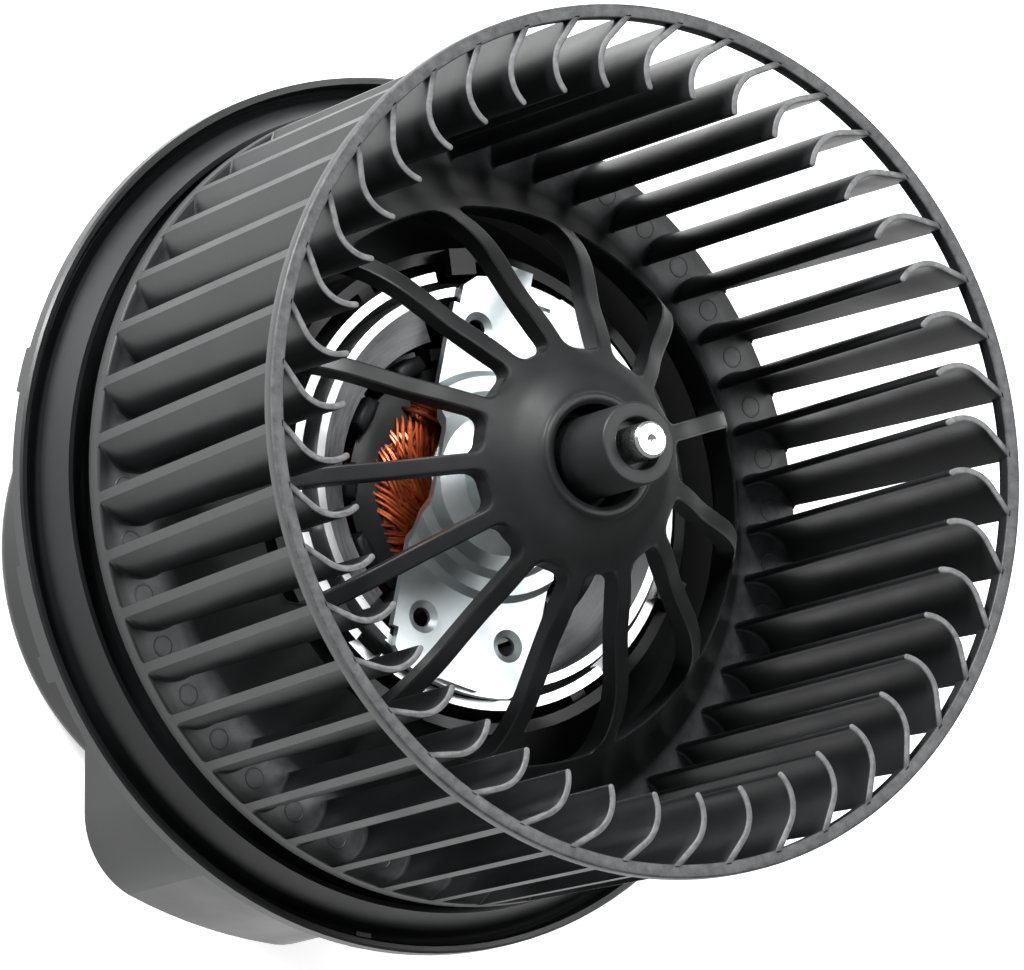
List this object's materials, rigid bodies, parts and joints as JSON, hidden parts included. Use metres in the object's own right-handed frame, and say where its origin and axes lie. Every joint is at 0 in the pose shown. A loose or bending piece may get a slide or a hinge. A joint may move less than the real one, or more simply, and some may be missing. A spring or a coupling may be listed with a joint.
{
  "type": "blower motor with fan wheel",
  "caption": "Heater blower: a forward-curved centrifugal wheel with an open mouth on a brushed motor in a round flanged plastic housing.",
  "frame": {"origin": "on the shaft line, in the plane of the rear edge of the flange's outer rim, which fits in the heater case", "axes": "+Z along the shaft towards the open mouth of the wheel; X and Y square to it, the flat terminals of the plug socket standing in the X-Z plane's direction"},
  "size_m": [0.155, 0.155, 0.1465],
  "materials": {
    "wheel_plastic": "satin moulded plastic with a fine spark texture",
    "housing_plastic": "satin moulded plastic",
    "shaft_steel": "ground",
    "lamination_steel": "stamped and stacked",
    "insulator_plastic": "moulded",
    "copper_wire": "enamelled copper",
    "bright_steel": "rolled and cut",
    "zinc_plate": "zinc plated, satin",
    "sintered_bronze": "sintered",
    "spring_steel": "drawn",
    "ferrite": "ground ferrite",
    "damper_rubber": "moulded",
    "carbon": "pressed carbon",
    "holder_brass": "pressed sheet"
  },
  "bodies": {
    "stator": {"motor_housing": "housing_plastic", "motor_can": "bright_steel", "front_bearing_bracket": "zinc_plate", "front_bearing": "sintered_bronze", "front_bearing_retainer": "spring_steel", "rear_bearing": "sintered_bronze", "rear_bearing_retainer": "spring_steel", "thrust_pad": "insulator_plastic", "magnet_left": "ferrite", "magnet_right": "ferrite", "magnet_clip_top": "spring_steel", "magnet_clip_bottom": "spring_steel", "damper_ring": "damper_rubber", "mounting_ring": "bright_steel", "brush_holder_1": "holder_brass", "brush_holder_2": "holder_brass", "brush_spring_1": "spring_steel", "brush_spring_2": "spring_steel", "brush_card": "insulator_plastic", "choke_coils": "copper_wire", "card_rivets": "holder_brass", "socket_cover": "housing_plastic", "power_terminals": "holder_brass"},
    "rotor": {"fan_wheel": "wheel_plastic", "shaft": "shaft_steel", "armature_laminations": "lamination_steel", "front_insulator": "insulator_plastic", "rear_insulator": "insulator_plastic", "armature_windings": "copper_wire", "front_spacer": "insulator_plastic", "front_thrust_washer": "shaft_steel", "rear_thrust_washer": "shaft_steel", "commutator_core": "insulator_plastic", "commutator_segments": "copper_wire"},
    "brush_1": {"brush_1": "carbon"},
    "brush_2": {"brush_2": "carbon"}
  },
  "joints": [
    {"name": "rotor_spin", "type": "hinge", "parent": "stator", "child": "rotor", "pos_m": [0, 0, 0], "axis": [0, 0, 1], "continuous": true},
    {"name": "brush_1_slide", "type": "slide", "parent": "stator", "child": "brush_1", "axis": [1, 0, 0], "range_m": [0, 0.004], "stiffness_N_per_m": 120, "springref_m": -0.006, "deforming": ["brush_spring_1"]},
    {"name": "brush_2_slide", "type": "slide", "parent": "stator", "child": "brush_2", "axis": [-1, 0, 0], "range_m": [0, 0.004], "stiffness_N_per_m": 120, "springref_m": -0.006, "deforming": ["brush_spring_2"]}
  ]
}
